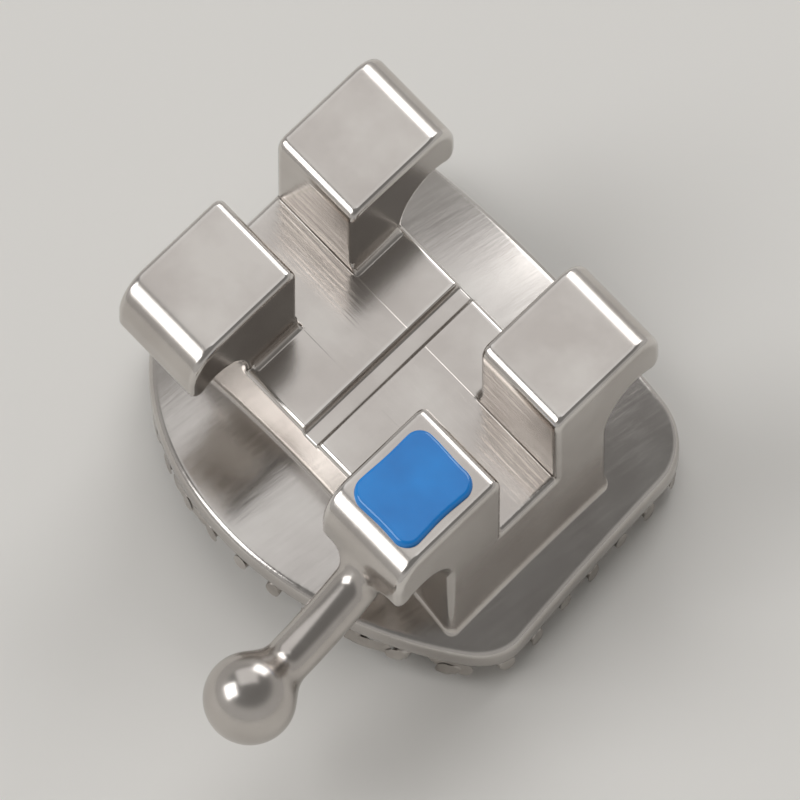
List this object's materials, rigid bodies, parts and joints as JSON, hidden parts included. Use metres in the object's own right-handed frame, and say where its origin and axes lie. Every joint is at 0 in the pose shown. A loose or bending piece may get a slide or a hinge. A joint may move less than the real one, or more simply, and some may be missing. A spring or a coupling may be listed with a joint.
{
  "type": "orthodontic bracket",
  "caption": "Metal twin bracket for an upper right canine: tie wings around a rectangular archwire slot, a ball hook with a blue mark above it, and a curved mesh base that bonds to the tooth.",
  "frame": {"origin": "centre of the bonding surface, where the underside of the mesh touches the crown of the tooth", "axes": "+X along the archwire slot towards the distal side, +Y across the slot towards the biting edge, +Z away from the tooth; the tooth's long axis leans 8 degrees from +Y towards -X"},
  "size_m": [0.0038, 0.0044, 0.0019],
  "materials": {
    "cast_steel": "moulded stainless steel, tumbled and electropolished",
    "foil_steel": "rolled stainless foil, satin",
    "mesh_steel": "drawn stainless wire, woven and sintered",
    "blue_enamel": "glossy air-dried enamel"
  },
  "bodies": {
    "root": {"bracket_body": "cast_steel", "base_pad": "foil_steel", "mesh_backing": "mesh_steel", "colour_mark": "blue_enamel"}
  },
  "joints": []
}
